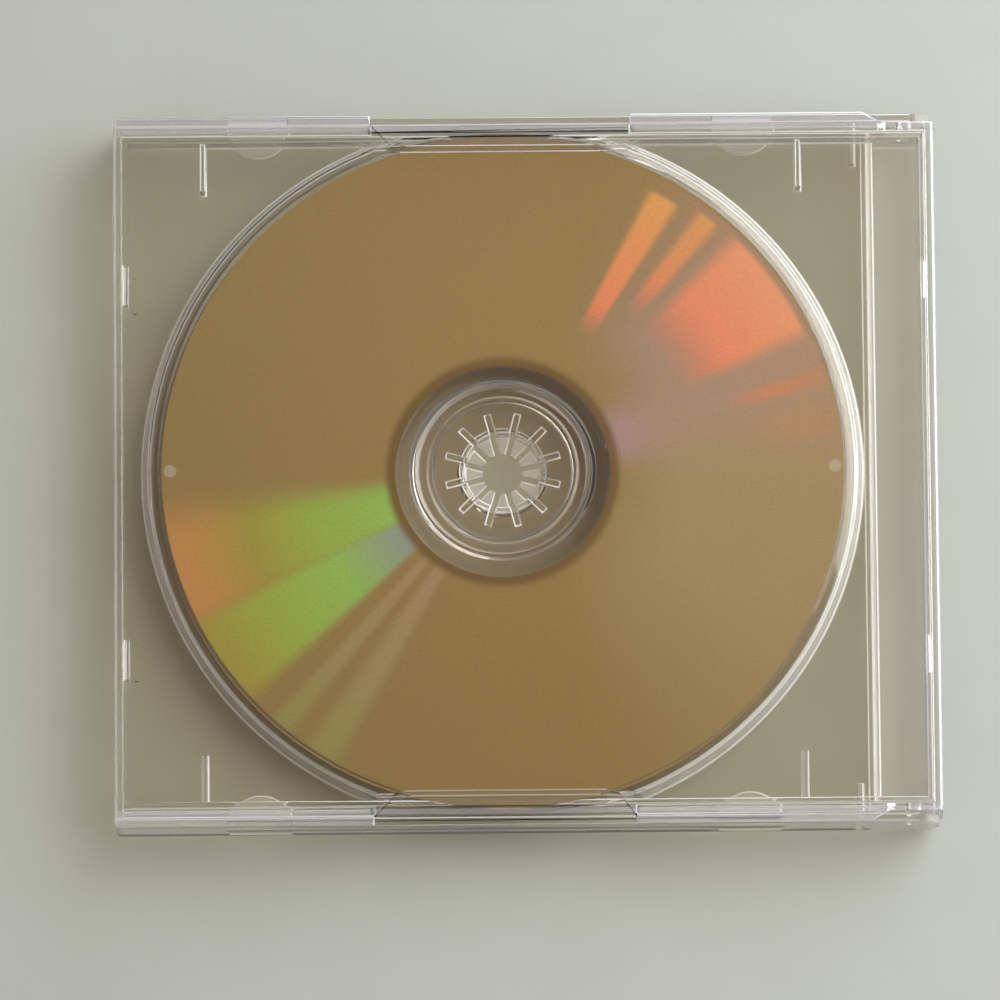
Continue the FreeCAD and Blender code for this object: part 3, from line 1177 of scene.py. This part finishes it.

# Painted highlights on the disc, one fan a row: angle, half width, softness, inner, outer, fade, strength,
# colours and outer fade.
PAINTED_DISC_GLINTS = (
    PaintedGlint(-14.0, 34.0, 26.0, 24.0, 59.2, 10.0, 0.42, ((0.4, PALE_GOLD), (0.95, PALE_GOLD))),
    PaintedGlint(32.0, 24.0, 14.0, 27.0, 58.6, 7.0, 0.44, ((0.3, MAUVE), (0.9, ROSE))),
    PaintedGlint(35.0, 10.2, 2.2, 39.0, 57.6, 6.5, 1.0, ((0.6, CORAL), (0.97, LIGHT_CORAL))),
    PaintedGlint(51.0, 1.9, 1.1, 39.0, 57.2, 4.5, 0.85, ((0.6, CORAL), (0.95, ORANGE))),
    PaintedGlint(59.5, 2.7, 1.0, 31.0, 56.0, 4.0, 1.0, ((0.5, CORAL), (0.92, ORANGE))),
    PaintedGlint(16.5, 1.5, 1.1, 44.0, 57.8, 5.0, 0.7, ((0.6, CORAL), (0.95, PALE_CORAL))),
    PaintedGlint(8.5, 2.6, 2.0, 48.0, 57.8, 6.0, 0.35, ((0.6, CORAL), (0.95, PALE_CORAL))),
    PaintedGlint(17.0, 11.0, 10.0, 17.0, 29.0, 3.0, 0.8, ((0.3, VIOLET), (0.6, PINK)), 8.0),
    PaintedGlint(197.5, 10.5, 5.5, 19.0, 58.8, 1.0, 0.95,
          ((0.36, LIME), (0.58, GREEN), (0.76, OLIVE), (0.94, AMBER))),
    PaintedGlint(214.2, 7.8, 1.8, 19.0, 58.8, 1.0, 0.95,
          ((0.36, TEAL), (0.55, LIME), (0.75, GREEN), (0.97, OLIVE))),
    PaintedGlint(229.0, 1.8, 1.2, 19.0, 58.8, 3.0, 0.6, ((0.4, PINK), (0.95, MOSS))),
    PaintedGlint(237.5, 2.8, 1.8, 19.0, 58.8, 3.0, 0.65, ((0.4, PINK), (0.95, MOSS))),
)


def moulded_skins(name: str) -> dict[Skin, ClearPlastic]:
    """Return the clear face, the paler edge, the duller spots and the milky walls of one moulding."""
    return {
        Skin.FACE: ClearPlastic(f"clear_{name}"),
        Skin.EDGE: ClearPlastic(f"{name}_edge", tint=(0.97, 0.98, 1.0), clearness=0.5),
        Skin.FROST: ClearPlastic(f"{name}_frost", tint=(0.95, 0.95, 0.95), clearness=0.83),
        Skin.MILKY: ClearPlastic(
            f"{name}_milky", tint=(0.91, 0.91, 0.97), shade=(0.79, 0.765, 0.73), clearness=0.82
        ),
    }


def main() -> None:
    """Build the pieces in order, dress them and set up the studio."""
    logging.basicConfig(level=logging.INFO, format="%(name)s: %(message)s")
    solid_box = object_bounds()
    disc_low, disc_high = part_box("disc")
    disc_axis = Vector(((disc_low.x + disc_high.x) / 2, (disc_low.y + disc_high.y) / 2, 0))
    assemblies = (
        FrontLid("front_lid", "clear_lid", Body.LID, Slot.CASE, moulded_skins("lid") | {
            Skin.OWN: ClearPlastic("lid_tab", tint=(0.97, 0.97, 0.97), clearness=0.2),
        }),
        BackCover("back_cover", "clear_back", Body.BACK, Slot.CASE, moulded_skins("back")),
        DiscTray("disc_tray", "clear_tray", Body.BACK, Slot.TRAY, moulded_skins("tray") | {
            Skin.OWN: ClearPlastic("tray_veil", tint=(0.78, 0.77, 0.77), clearness=0.94),
        }),
        RecordableDisc(
            "disc",
            "recordable_disc",
            ClearPlastic("clear_disc", tint=(0.86, 0.74, 0.6)),
            GoldLayer("gold_layer", disc_axis, inner=18.6, outer=59.2, painted_glints=PAINTED_DISC_GLINTS),
        ),
    )
    for assembly in assemblies:
        piece = assembly.build()
        assembly.dress()
        LOG.info("%s: %d faces", piece.name, len(piece.data.polygons))
    Studio(
        PaleTable(),
        (
            Softbox(
                "window", azimuth=22.0, elevation=29.0, distance=0.6, size=(0.9, 0.5), power=5.3,
                colour=(0.965, 1.0, 1.04),
            ),
            Softbox(
                "sheen", azimuth=34.0, elevation=26.0, distance=0.8, size=(1.5, 0.55), power=7.0,
                mirrored=True,
            ),
            Softbox(
                "fill", azimuth=225.0, elevation=34.0, distance=1.3, size=(0.9, 0.9), power=0.8,
                colour=(1.0, 0.95, 0.86),
            ),
        ),
    ).set_up()
    Viewpoint().place(solid_box[1].z)


if __name__ == "__main__":
    main()
